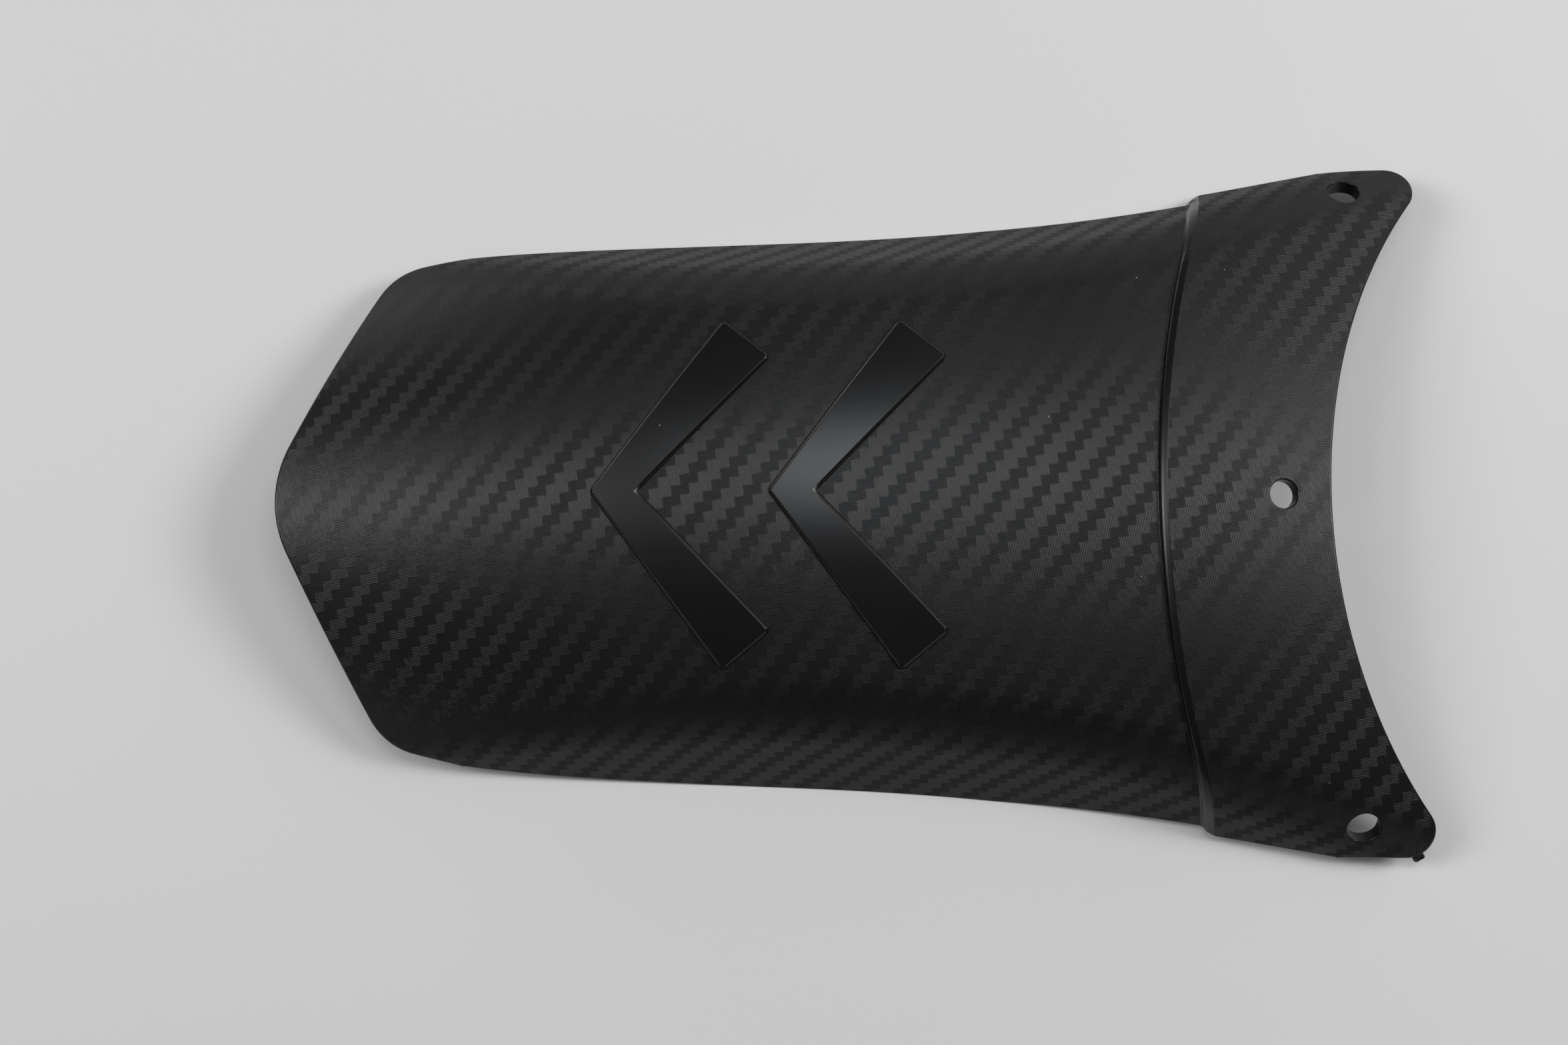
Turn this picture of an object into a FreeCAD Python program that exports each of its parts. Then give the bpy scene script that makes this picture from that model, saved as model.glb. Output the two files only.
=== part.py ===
import FreeCAD
import Part
import Sketcher
import math
import os

from FreeCAD import Placement, Rotation, Vector

# Moulded fender extension for a motorcycle: one arched plastic shell.
# Millimetres. X runs from the pointed nose (minus) to the mounting flange (plus), Z is up.
# The origin lies under the top of the arch, level with the side edges the part rests on.

SIZES = {
    # arch along the length
    "spine_radius": 546.0,
    "crown_height": 33.8,
    # arch across the width, at eight stations along the length
    "station_1": -132.0,
    "station_2": -80.0,
    "station_3": -40.0,
    "station_4": 0.0,
    "station_5": 40.0,
    "station_6": 80.0,
    "station_7": 107.3,
    "station_8": 132.0,
    # how far the crown arc leans before it meets the bend, at each station
    "crown_angle_1": 45.6,
    "crown_angle_2": 26.95,
    "crown_angle_3": 18.2,
    "crown_angle_4": 14.48,
    "crown_angle_5": 13.54,
    "crown_angle_6": 14.57,
    "crown_angle_7": 15.8,
    "crown_angle_8": 16.67,
    # the crown arc flattens evenly from the first station to the last
    "crown_radius_nose": 65.8,
    "crown_radius_flange": 242.2,
    "bend_radius": 21.0,
    "skirt_angle": 63.0,
    "wall": 3.0,
    # side edge, seen from the side
    "flat_from": -12.0,
    "flat_to": 30.0,
    "nose_rise_radius": 519.0,
    "flange_rise_angle": 3.3,
    # outline, seen from above
    "nose_x": -122.5,
    "nose_radius": 26.0,
    "nose_angle": 25.9,
    "shoulder_radius": 14.0,
    "shoulder_half": 53.4,
    "shoulder_angle": 14.0,
    "ear_margin": 6.3,
    "ear_radius": 5.6,
    "crescent_x": 99.4,
    "crescent_radius": 109.0,
    # raised mounting flange
    "step_x": 63.4,
    "step_radius": 195.0,
    "step_height": 1.6,
    "joggle": 3.0,
    # raised chevrons
    "chevron_height": 0.9,
    "chevron_x": -54.9,
    "chevron_pitch": 36.8,
    "chevron_width": 9.8,
    "chevron_outer_run": 27.4,
    "chevron_outer_half": 36.8,
    "chevron_inner_run": 37.3,
    "chevron_inner_half": 28.6,
    # holes, the ear holes at station 7
    "centre_hole_d": 6.0,
    "centre_hole_x": 89.0,
    "ear_hole_d": 7.0,
    "ear_hole_angle": 36.0,
    "drill_depth": 9.0,
    "drill_rise": 4.0,
    # gate stub left on the edge of one ear
    "gate_angle": -62.0,
    "gate_width": 2.4,
    "gate_reach": 1.2,
    "gate_root": 2.0,
    "gate_thick": 1.6,
    "gate_drop": 7.2,
    # rounded corners and bevelled edges of the raised parts
    "chevron_corner": 1.2,
    "chevron_bevel": 0.5,
    "step_bevel": 0.7,
    # room around the part for the blocks that trim it
    "base_drop": 30.0,
    "trim_top": 60.0,
    "trim_half": 95.0,
    "trim_end": 127.0,
}
STATIONS = [name for name in SIZES if name.startswith("station_")]

doc = FreeCAD.newDocument("fender_extension")
sheet = doc.addObject("Spreadsheet::Sheet", "sizes")
for row, (alias, value) in enumerate(SIZES.items(), start=1):
    sheet.set("A%d" % row, alias)
    sheet.set("B%d" % row, str(value))
    sheet.setAlias("B%d" % row, alias)
doc.recompute()

S = SIZES
ACROSS = Rotation(Vector(1, 1, 1), 120)
UPRIGHT = Rotation(Vector(1, 0, 0), 90)


def named(text):
    """Turn size names in braces into references to the sheet."""
    for alias in sorted(S, key=len, reverse=True):
        text = text.replace("{" + alias + "}", "sizes." + alias)
    return text


def at(x, y, angle, length):
    return (x + length * math.cos(math.radians(angle)), y + length * math.sin(math.radians(angle)))


class Drawing:
    """A sketch with constraints bound to the sheet; points and axes go by plain names."""

    def __init__(self, name, placement):
        self.sketch = doc.addObject("Sketcher::SketchObject", name)
        self.sketch.Placement = placement

    def line(self, a, b):
        return self.sketch.addGeometry(Part.LineSegment(Vector(a[0], a[1], 0), Vector(b[0], b[1], 0)))

    def arc(self, centre, radius, start, end):
        circle = Part.Circle(Vector(centre[0], centre[1], 0), Vector(0, 0, 1), radius)
        return self.sketch.addGeometry(Part.ArcOfCircle(circle, math.radians(start), math.radians(end)))

    def codes(self, items):
        points = ["edge", "start", "end", "centre"]
        axes = ["y_axis", "x_axis"]
        found = []
        for item in items:
            if item == "origin":
                found += [-1, 1]
            elif item in points:
                found.append(points.index(item))
            elif item in axes:
                found.append(axes.index(item) - len(axes))
            else:
                found.append(item)
        return found

    def tie(self, kind, *items):
        return self.sketch.addConstraint(Sketcher.Constraint(kind, *self.codes(items)))

    def size(self, kind, *items, by):
        index = self.tie(kind, *items)
        self.sketch.setExpression("Constraints[%d]" % index, named(by))
        return index


def crown_radius(i):
    """Radius of the crown arc at station i, as a number and as an expression."""
    first, last, here = STATIONS[0], STATIONS[-1], STATIONS[i]
    share = (S[here] - S[first]) / (S[last] - S[first])
    number = S["crown_radius_nose"] + (S["crown_radius_flange"] - S["crown_radius_nose"]) * share
    share_by = "({%s} - {%s}) / ({%s} - {%s})" % (here, first, last, first)
    return number, "({crown_radius_nose} + ({crown_radius_flange} - {crown_radius_nose}) * %s)" % share_by


def crown_top(x, x_by):
    """Height of the spine at x, as a number and as an expression."""
    number = S["crown_height"] - S["spine_radius"] + math.sqrt(S["spine_radius"] ** 2 - x ** 2)
    return number, "({crown_height} - {spine_radius} + sqrt({spine_radius}^2 - %s^2))" % x_by


def bend_centre(i):
    """Centre of the bend at station i, across and up, each as a number and as an expression."""
    here = STATIONS[i]
    lean = "crown_angle_%d" % (i + 1)
    radius, radius_by = crown_radius(i)
    top, top_by = crown_top(S[here], "{%s}" % here)
    reach = radius - S["bend_radius"]
    reach_by = "(%s - {bend_radius})" % radius_by
    across, up = at(0, top - radius, 90 - S[lean], reach)
    across_by = "(%s * sin({%s} * 1 deg))" % (reach_by, lean)
    up_by = "(%s - %s + %s * cos({%s} * 1 deg))" % (top_by, radius_by, reach_by, lean)
    return across, across_by, up, up_by


def section(name, i, offset, offset_by):
    """Closed arch section at station i, its surface moved outward by an offset."""
    here = STATIONS[i]
    lean_name = "crown_angle_%d" % (i + 1)
    lean = S[lean_name]
    radius, radius_by = crown_radius(i)
    top, top_by = crown_top(S[here], "{%s}" % here)
    skirt = S["skirt_angle"]
    base = -S["base_drop"]
    bend_y, bend_y_by, bend_z, bend_z_by = bend_centre(i)
    bend_r = S["bend_radius"] + offset
    half = (radius + offset) * math.sin(math.radians(lean))
    knee = at(bend_y, bend_z, 90 - skirt, bend_r)
    foot = (knee[0] + (knee[1] - base) / math.tan(math.radians(skirt)), base)

    d = Drawing(name, Placement(Vector(S[here], 0, 0), ACROSS))
    d.sketch.setExpression("Placement.Base.x", named("{%s}" % here))
    crown = d.arc((0, top - radius), radius + offset, 90 - lean, 90 + lean)
    right = d.arc((bend_y, bend_z), bend_r, 90 - skirt, 90 - lean)
    left = d.arc((-bend_y, bend_z), bend_r, 90 + lean, 90 + skirt)
    skirt_r = d.line(knee, foot)
    skirt_l = d.line((-knee[0], knee[1]), (-foot[0], foot[1]))
    floor = d.line(foot, (-foot[0], foot[1]))

    half_by = "(%s + %s) * sin({%s} * 1 deg)" % (radius_by, offset_by, lean_name)
    d.tie("PointOnObject", crown, "centre", "y_axis")
    d.size("DistanceY", "origin", crown, "centre", top - radius, by=top_by + " - " + radius_by)
    d.size("Radius", crown, radius + offset, by=radius_by + " + " + offset_by)
    d.size("DistanceX", "origin", crown, "start", half, by=half_by)
    d.tie("Symmetric", crown, "start", crown, "end", "y_axis")
    d.tie("Tangent", crown, "start", right, "end")
    d.tie("Tangent", crown, "end", left, "start")
    d.size("Radius", right, bend_r, by="{bend_radius} + " + offset_by)
    d.tie("Equal", right, left)
    d.tie("Tangent", right, "start", skirt_r, "start")
    d.tie("Tangent", left, "end", skirt_l, "start")
    d.size("Angle", skirt_r, math.radians(-skirt), by="0 deg - {skirt_angle} * 1 deg")
    d.size("DistanceY", "origin", skirt_r, "end", base, by="0 - {base_drop}")
    d.tie("Symmetric", skirt_r, "end", skirt_l, "end", "y_axis")
    d.tie("Coincident", skirt_r, "end", floor, "start")
    d.tie("Coincident", skirt_l, "end", floor, "end")
    return d.sketch


def arch(name, offset, offset_by):
    """Solid arch lofted through all stations."""
    sections = []
    for i, here in enumerate(STATIONS):
        sections.append(section("%s_at_%s" % (name, here), i, offset, offset_by))
    loft = doc.addObject("Part::Loft", name)
    loft.Sections = sections
    loft.Solid = True
    loft.Ruled = False
    return loft


def extrude(name, sketch, up, up_by, down, down_by):
    block = doc.addObject("Part::Extrusion", name)
    block.Base = sketch
    block.DirMode = "Normal"
    block.Solid = True
    block.LengthFwd = up
    block.LengthRev = down
    block.setExpression("LengthFwd", named(up_by))
    block.setExpression("LengthRev", named(down_by))
    return block


def boolean(kind, name, base, tool):
    result = doc.addObject("Part::" + kind, name)
    result.Base = base
    result.Tool = tool
    return result


def fuse(name, shapes):
    result = doc.addObject("Part::MultiFuse", name)
    result.Shapes = shapes
    return result


def softened(kind, name, base, size, chosen):
    """Round or bevel the edges of a shape for which the given test holds."""
    doc.recompute()
    result = doc.addObject("Part::" + kind, name)
    result.Base = base
    picks = []
    for n, edge in enumerate(base.Shape.Edges, start=1):
        if chosen(edge):
            picks.append((n, size, size))
    result.Edges = picks
    return result


def is_upright(edge):
    return edge.Curve.TypeId == "Part::GeomLine" and abs(edge.tangentAt(edge.FirstParameter).z) > 0.99


# the arch surfaces: outside, inside, outside and inside of the flange, top of the chevrons
outside = arch("outside", 0.0, "0")
inside = arch("inside", -S["wall"], "(0 - {wall})")
flange_outside = arch("flange_outside", S["step_height"], "{step_height}")
flange_inside = arch("flange_inside", S["step_height"] - S["wall"], "({step_height} - {wall})")
chevron_top = arch("chevron_top", S["chevron_height"], "{chevron_height}")

# where the middle of an ear hole meets the outside of the flange, and the ear around it
ear_bend_y, ear_bend_y_by, ear_bend_z, ear_bend_z_by = bend_centre(STATIONS.index("station_7"))
ear_hole_y, ear_hole_z = at(ear_bend_y, ear_bend_z, 90 - S["ear_hole_angle"], S["bend_radius"] + S["step_height"])
ear_hole_y_by = "(%s + ({bend_radius} + {step_height}) * sin({ear_hole_angle} * 1 deg))" % ear_bend_y_by
ear_hole_z_by = "(%s + ({bend_radius} + {step_height}) * cos({ear_hole_angle} * 1 deg))" % ear_bend_z_by
ear_half = ear_hole_y + S["ear_margin"]
ear_half_by = "(%s + {ear_margin})" % ear_hole_y_by
ear_y = ear_half - S["ear_radius"]
ear_y_by = "(%s - {ear_radius})" % ear_half_by
ear_reach = S["crescent_radius"] + S["ear_radius"]
ear_x = S["crescent_x"] + S["crescent_radius"] - math.sqrt(ear_reach ** 2 - ear_y ** 2)
ear_x_by = ("({crescent_x} + {crescent_radius} - sqrt(({crescent_radius} + {ear_radius})^2 - %s^2))" % ear_y_by)


def plan_outline():
    """Outline from above: nose, shoulders, ears and the hollow crescent end."""
    lean = S["nose_angle"]
    flare = S["shoulder_angle"]
    tip_c = (S["nose_x"] + S["nose_radius"], 0)
    tip = at(tip_c[0], tip_c[1], 180 - lean, S["nose_radius"])
    r = S["shoulder_radius"]
    shoulder_y = S["shoulder_half"] - r * math.cos(math.radians(flare))
    nose_end_y = shoulder_y + r * math.sin(math.radians(180 - lean))
    nose_end = (tip[0] + (nose_end_y - tip[1]) * math.tan(math.radians(lean)), nose_end_y)
    shoulder_c = (nose_end[0] + r * math.cos(math.radians(lean)), shoulder_y)
    shoulder_end = at(shoulder_c[0], shoulder_c[1], 90 + flare, r)
    run = (ear_half - shoulder_end[1]) / math.tan(math.radians(flare))
    side_end = (shoulder_end[0] + run, ear_half)
    crescent_c = (S["crescent_x"] + S["crescent_radius"], 0)
    ear_top = (ear_x, ear_half)
    turn = math.degrees(math.atan2(-ear_y, crescent_c[0] - ear_x))

    d = Drawing("plan_outline", Placement())
    nose = d.arc(tip_c, S["nose_radius"], 180 - lean, 180 + lean)
    nose_u = d.line(tip, nose_end)
    shoulder_u = d.arc(shoulder_c, r, 90 + flare, 180 - lean)
    side_u = d.line(shoulder_end, side_end)
    rim_u = d.line(side_end, ear_top)
    ear_u = d.arc((ear_x, ear_y), S["ear_radius"], turn, 90)
    nose_l = d.line((tip[0], -tip[1]), (nose_end[0], -nose_end[1]))
    shoulder_l = d.arc((shoulder_c[0], -shoulder_c[1]), r, 180 + lean, 270 - flare)
    side_l = d.line((shoulder_end[0], -shoulder_end[1]), (side_end[0], -side_end[1]))
    rim_l = d.line((side_end[0], -side_end[1]), (ear_top[0], -ear_top[1]))
    ear_l = d.arc((ear_x, -ear_y), S["ear_radius"], -90, -turn)
    crescent = d.arc(crescent_c, S["crescent_radius"], 180 + turn, 180 - turn)

    d.tie("PointOnObject", nose, "centre", "x_axis")
    d.size("DistanceX", "origin", nose, "centre", tip_c[0], by="{nose_x} + {nose_radius}")
    d.size("Radius", nose, S["nose_radius"], by="{nose_radius}")
    d.tie("Symmetric", nose, "start", nose, "end", "x_axis")
    d.tie("Tangent", nose, "start", nose_u, "start")
    d.size("Angle", nose_u, math.radians(90 - lean), by="90 deg - {nose_angle} * 1 deg")
    d.tie("Tangent", nose_u, "end", shoulder_u, "end")
    d.size("Radius", shoulder_u, r, by="{shoulder_radius}")
    d.tie("Tangent", shoulder_u, "start", side_u, "start")
    d.size("Angle", side_u, math.radians(flare), by="{shoulder_angle} * 1 deg")
    d.size("DistanceY", "origin", side_u, "start", shoulder_end[1], by="{shoulder_half}")
    d.size("DistanceY", "origin", side_u, "end", side_end[1], by=ear_half_by)
    d.tie("Coincident", side_u, "end", rim_u, "start")
    d.tie("Horizontal", rim_u)
    d.tie("Tangent", rim_u, "end", ear_u, "end")
    d.size("Radius", ear_u, S["ear_radius"], by="{ear_radius}")
    d.tie("Tangent", ear_u, "start", crescent, "start")
    d.tie("PointOnObject", crescent, "centre", "x_axis")
    d.size("DistanceX", "origin", crescent, "centre", crescent_c[0], by="{crescent_x} + {crescent_radius}")
    d.size("Radius", crescent, S["crescent_radius"], by="{crescent_radius}")
    d.tie("Symmetric", crescent, "start", crescent, "end", "x_axis")
    # the lower half mirrors the upper one
    d.tie("Coincident", nose, "end", nose_l, "start")
    d.tie("Symmetric", nose_u, "end", nose_l, "end", "x_axis")
    d.tie("Coincident", nose_l, "end", shoulder_l, "start")
    d.tie("Symmetric", side_u, "start", side_l, "start", "x_axis")
    d.tie("Coincident", shoulder_l, "end", side_l, "start")
    d.tie("Equal", shoulder_u, shoulder_l)
    d.tie("Symmetric", side_u, "end", side_l, "end", "x_axis")
    d.tie("Coincident", side_l, "end", rim_l, "start")
    d.tie("Symmetric", rim_u, "end", rim_l, "end", "x_axis")
    d.tie("Coincident", rim_l, "end", ear_l, "start")
    d.tie("Coincident", ear_l, "end", crescent, "end")
    d.tie("Equal", ear_u, ear_l)
    return d.sketch


def side_outline():
    """Outline from the side: level rest, rising toward the nose and toward the flange."""
    end = S["trim_end"]
    top = S["trim_top"]
    r = S["nose_rise_radius"]
    span = end + S["flat_from"]
    sweep = math.degrees(math.asin(span / r))
    nose_z = r - r * math.cos(math.radians(sweep))
    rise_z = (end - S["flat_to"]) * math.tan(math.radians(S["flange_rise_angle"]))

    d = Drawing("side_outline", Placement(Vector(0, 0, 0), UPRIGHT))
    flat = d.line((S["flat_from"], 0), (S["flat_to"], 0))
    rise = d.line((S["flat_to"], 0), (end, rise_z))
    back = d.line((end, rise_z), (end, top))
    roof = d.line((end, top), (-end, top))
    front = d.line((-end, top), (-end, nose_z))
    curve = d.arc((S["flat_from"], r), r, 270 - sweep, 270)
    d.tie("PointOnObject", flat, "start", "x_axis")
    d.tie("Horizontal", flat)
    d.size("DistanceX", "origin", flat, "start", S["flat_from"], by="{flat_from}")
    d.size("DistanceX", "origin", flat, "end", S["flat_to"], by="{flat_to}")
    d.tie("Coincident", flat, "end", rise, "start")
    d.size("Angle", rise, math.radians(S["flange_rise_angle"]), by="{flange_rise_angle} * 1 deg")
    d.size("DistanceX", "origin", rise, "end", end, by="{trim_end}")
    d.tie("Coincident", rise, "end", back, "start")
    d.tie("Vertical", back)
    d.size("DistanceY", "origin", back, "end", top, by="{trim_top}")
    d.tie("Coincident", back, "end", roof, "start")
    d.tie("Horizontal", roof)
    d.size("DistanceX", "origin", roof, "end", -end, by="0 - {trim_end}")
    d.tie("Coincident", roof, "end", front, "start")
    d.tie("Vertical", front)
    d.tie("Coincident", front, "end", curve, "start")
    d.tie("Tangent", curve, "end", flat, "start")
    d.size("Radius", curve, r, by="{nose_rise_radius}")
    return d.sketch


def flange_region(name, x, x_by):
    """Everything on the flange side of the step line, seen from above."""
    r = S["step_radius"]
    half = S["trim_half"]
    end = S["trim_end"]
    sweep = math.degrees(math.asin(half / r))
    edge_x = x + r - r * math.cos(math.radians(sweep))
    d = Drawing(name, Placement())
    step = d.arc((x + r, 0), r, 180 - sweep, 180 + sweep)
    low = d.line((edge_x, -half), (end, -half))
    back = d.line((end, -half), (end, half))
    high = d.line((end, half), (edge_x, half))
    d.tie("PointOnObject", step, "centre", "x_axis")
    d.size("DistanceX", "origin", step, "centre", x + r, by=x_by + " + {step_radius}")
    d.size("Radius", step, r, by="{step_radius}")
    d.tie("Symmetric", step, "start", step, "end", "x_axis")
    d.tie("Coincident", step, "end", low, "start")
    d.tie("Horizontal", low)
    d.tie("Coincident", low, "end", back, "start")
    d.tie("Vertical", back)
    d.tie("Coincident", back, "end", high, "start")
    d.tie("Horizontal", high)
    d.tie("Coincident", high, "end", step, "start")
    d.size("DistanceX", "origin", back, "start", end, by="{trim_end}")
    d.size("DistanceY", "origin", back, "end", half, by="{trim_half}")
    return d.sketch


def chevron(name, x, x_by):
    """One chevron, pointing at the nose, its arms widening outward."""
    corners = [
        (0, 0, "0", "0"),
        (S["chevron_outer_run"], S["chevron_outer_half"], "{chevron_outer_run}", "{chevron_outer_half}"),
        (S["chevron_inner_run"], S["chevron_inner_half"], "{chevron_inner_run}", "{chevron_inner_half}"),
        (S["chevron_width"], 0, "{chevron_width}", "0"),
        (S["chevron_inner_run"], -S["chevron_inner_half"], "{chevron_inner_run}", "0 - {chevron_inner_half}"),
        (S["chevron_outer_run"], -S["chevron_outer_half"], "{chevron_outer_run}", "0 - {chevron_outer_half}"),
    ]
    d = Drawing(name, Placement(Vector(x, 0, 0), Rotation()))
    d.sketch.setExpression("Placement.Base.x", named(x_by))
    count = len(corners)
    lines = []
    for k in range(count):
        lines.append(d.line(corners[k][:2], corners[(k + 1) % count][:2]))
    for k in range(count):
        d.tie("Coincident", lines[k - 1], "end", lines[k], "start")
        d.size("DistanceX", "origin", lines[k], "start", corners[k][0], by=corners[k][2])
        d.size("DistanceY", "origin", lines[k], "start", corners[k][1], by=corners[k][3])
    return d.sketch


plan_block = extrude("plan_block", plan_outline(), S["trim_top"], "{trim_top} - 1", 2.0, "{base_drop} / 2")
side_block = extrude("side_block", side_outline(), S["trim_half"], "{trim_half}", S["trim_half"], "{trim_half}")
trim_block = boolean("Common", "trim_block", plan_block, side_block)

step_out = extrude("step_out", flange_region("step_line", S["step_x"], "{step_x}"),
                   S["trim_top"], "{trim_top}", 5.0, "{base_drop} / 2")
step_in = extrude("step_in", flange_region("inner_step_line", S["step_x"] + S["joggle"], "{step_x} + {joggle}"),
                  S["trim_top"], "{trim_top} - 2", 5.0, "{base_drop} / 3")
flange_solid = boolean("Common", "flange_solid", flange_outside, step_out)
flange_hollow = boolean("Common", "flange_hollow", flange_inside, step_in)

# chevrons with round corners and bevelled top edges
middle_z = S["crown_height"] / 2
pads = []
for n in range(2):
    tag = "_%d" % (n + 1)
    shift = S["chevron_x"] + n * S["chevron_pitch"]
    sketch = chevron("chevron_outline" + tag, shift, "{chevron_x} + %d * {chevron_pitch}" % n)
    prism = extrude("chevron_prism" + tag, sketch, S["trim_top"], "{trim_top}", 0.0, "0")
    column = softened("Fillet", "chevron_column" + tag, prism, S["chevron_corner"], is_upright)
    block = boolean("Common", "chevron_block" + tag, chevron_top, column)
    pads.append(softened("Chamfer", "chevron_pad" + tag, block, S["chevron_bevel"],
                         lambda edge: edge.BoundBox.ZMin > middle_z))

stepped = fuse("stepped", [outside, flange_solid])
doc.recompute()


def step_edges(shape):
    """Top and foot of the step that raises the flange."""
    found = []
    for face in shape.Faces:
        if face.Surface.TypeId == "Part::GeomCylinder" and abs(face.Surface.Radius - S["step_radius"]) < 0.01:
            found += [edge for edge in face.Edges if not is_upright(edge) and edge.BoundBox.ZMax > 0]
    return found


steps = step_edges(stepped.Shape)
eased = softened("Chamfer", "eased", stepped, S["step_bevel"], lambda edge: any(edge.isSame(e) for e in steps))
outer_solid = fuse("outer_solid", [eased] + pads)
print("step edges %d" % len(steps))

trimmed = boolean("Common", "trimmed", outer_solid, trim_block)
hollow = fuse("hollow", [inside, flange_hollow])
shell = boolean("Cut", "shell", trimmed, hollow)

# gate stub on the right ear, square to the edge, inside the thickness of the wall
gate = doc.addObject("Part::Box", "gate_stub")
gate.setExpression("Length", named("{gate_reach} + {gate_root}"))
gate.setExpression("Width", named("{gate_width}"))
gate.setExpression("Height", named("{gate_thick}"))
gate_spot = "create(<<vector>>; %s; 0 - %s; %s - {gate_drop})" % (ear_x_by, ear_y_by, ear_hole_z_by)
gate_turn = "create(<<rotation>>; {gate_angle}; 0; 0)"
gate_shift = "create(<<vector>>; {ear_radius} - {gate_root}; 0 - {gate_width} / 2; 0)"
gate.setExpression("Placement", named("create(<<placement>>; %s + %s * %s; %s)"
                                      % (gate_spot, gate_turn, gate_shift, gate_turn)))
moulding = fuse("moulding", [shell, gate])


def hole(name, diameter_by, x_by, y_by, z_by, lean_by, tilt_by):
    """Round drill square to the surface, from a little above it down through the wall."""
    drill = doc.addObject("Part::Cylinder", name)
    drill.setExpression("Radius", named(diameter_by + " / 2"))
    drill.setExpression("Height", named("{drill_depth} + {drill_rise}"))
    spot = "create(<<vector>>; %s; %s; %s)" % (x_by, y_by, z_by)
    turn = "create(<<rotation>>; 0; %s; %s)" % (lean_by, tilt_by)
    sink = "create(<<vector>>; 0; 0; 0 - {drill_depth})"
    drill.setExpression("Placement", named("create(<<placement>>; %s + %s * %s; %s)" % (spot, turn, sink, turn)))
    return drill


centre_top = crown_top(S["centre_hole_x"], "{centre_hole_x}")[1] + " + {step_height}"
drills = fuse("drills", [
    hole("centre_drill", "{centre_hole_d}", "{centre_hole_x}", "0", centre_top,
         "asin({centre_hole_x} / {spine_radius})", "0"),
    hole("left_drill", "{ear_hole_d}", "{station_7}", ear_hole_y_by, ear_hole_z_by,
         "0", "0 - {ear_hole_angle}"),
    hole("right_drill", "{ear_hole_d}", "{station_7}", "0 - " + ear_hole_y_by, ear_hole_z_by,
         "0", "{ear_hole_angle}"),
])
part = boolean("Cut", "fender_extension", moulding, drills)
part.Label = "fender_extension"

doc.recompute()
for obj in doc.Objects:
    if "Invalid" in obj.State or "Error" in obj.State:
        raise RuntimeError("%s did not build: %s" % (obj.Name, obj.State))
    if hasattr(obj, "Shape") and (obj.Shape.isNull() or not obj.Shape.isValid()):
        raise RuntimeError("%s has no valid shape" % obj.Name)
if len(part.Shape.Solids) != 1:
    raise RuntimeError("the part is not one solid")

os.makedirs("parts", exist_ok=True)
part.Shape.exportStep("parts/%s.step" % part.Label)
box = part.Shape.Solids[0].optimalBoundingBox()
print("size %.1f x %.1f x %.1f mm, volume %.0f mm3" % (box.XLength, box.YLength, box.ZLength, part.Shape.Volume))
print("x %.2f to %.2f, y %.2f to %.2f, z %.2f to %.2f" % (box.XMin, box.XMax, box.YMin, box.YMax, box.ZMin, box.ZMax))
for drill in drills.Shapes:
    normal = drill.Placement.Rotation.multVec(Vector(0, 0, 1))
    print(drill.Name, drill.Placement.Base + normal * S["drill_depth"], normal)
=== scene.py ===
import math
from collections import Counter

import bpy
import numpy as np
from mathutils import Matrix, Vector
from mathutils.geometry import delaunay_2d_cdt


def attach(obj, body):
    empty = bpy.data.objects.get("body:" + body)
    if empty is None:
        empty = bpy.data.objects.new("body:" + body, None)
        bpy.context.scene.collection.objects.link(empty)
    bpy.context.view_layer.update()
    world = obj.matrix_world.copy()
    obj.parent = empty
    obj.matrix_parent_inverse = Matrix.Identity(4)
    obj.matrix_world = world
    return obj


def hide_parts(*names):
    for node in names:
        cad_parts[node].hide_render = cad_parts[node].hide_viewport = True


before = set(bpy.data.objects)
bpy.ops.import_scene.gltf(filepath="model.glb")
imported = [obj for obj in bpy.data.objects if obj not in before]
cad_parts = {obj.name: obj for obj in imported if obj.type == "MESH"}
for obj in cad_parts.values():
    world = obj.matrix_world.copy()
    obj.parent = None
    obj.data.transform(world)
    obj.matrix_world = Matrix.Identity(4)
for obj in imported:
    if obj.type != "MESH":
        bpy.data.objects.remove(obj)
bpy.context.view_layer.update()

# The part's dimensions are in millimetres. The scene is in metres.
MM = 0.001

# arch along the length and across the width
SPINE_RADIUS = 546.0
CROWN_HEIGHT = 33.8
STATION_X = np.array([-132.0, -80.0, -40.0, 0.0, 40.0, 80.0, 107.3, 132.0])
CROWN_ANGLE = np.radians([45.6, 26.95, 18.2, 14.48, 13.54, 14.57, 15.8, 16.67])
CROWN_RADIUS_NOSE = 65.8
CROWN_RADIUS_FLANGE = 242.2
BEND_RADIUS = 21.0
SKIRT_ANGLE = math.radians(63.0)
WALL = 3.0

# side edge, seen from the side
FLAT_FROM = -12.0
FLAT_TO = 30.0
NOSE_RISE_RADIUS = 519.0
FLANGE_RISE_ANGLE = math.radians(3.3)

# outline from above
NOSE_X = -122.5
NOSE_RADIUS = 26.0
NOSE_ANGLE = math.radians(25.9)
SHOULDER_RADIUS = 14.0
SHOULDER_HALF = 53.4
SHOULDER_ANGLE = math.radians(14.0)
EAR_MARGIN = 6.3
EAR_RADIUS = 5.6
CRESCENT_X = 99.4
CRESCENT_RADIUS = 109.0

# raised flange, and how far behind its step the joggle inside lies
STEP_X = 63.4
STEP_RADIUS = 195.0
STEP_HEIGHT = 1.6
STEP_RUN = 1.7
JOGGLE = 3.0

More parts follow.
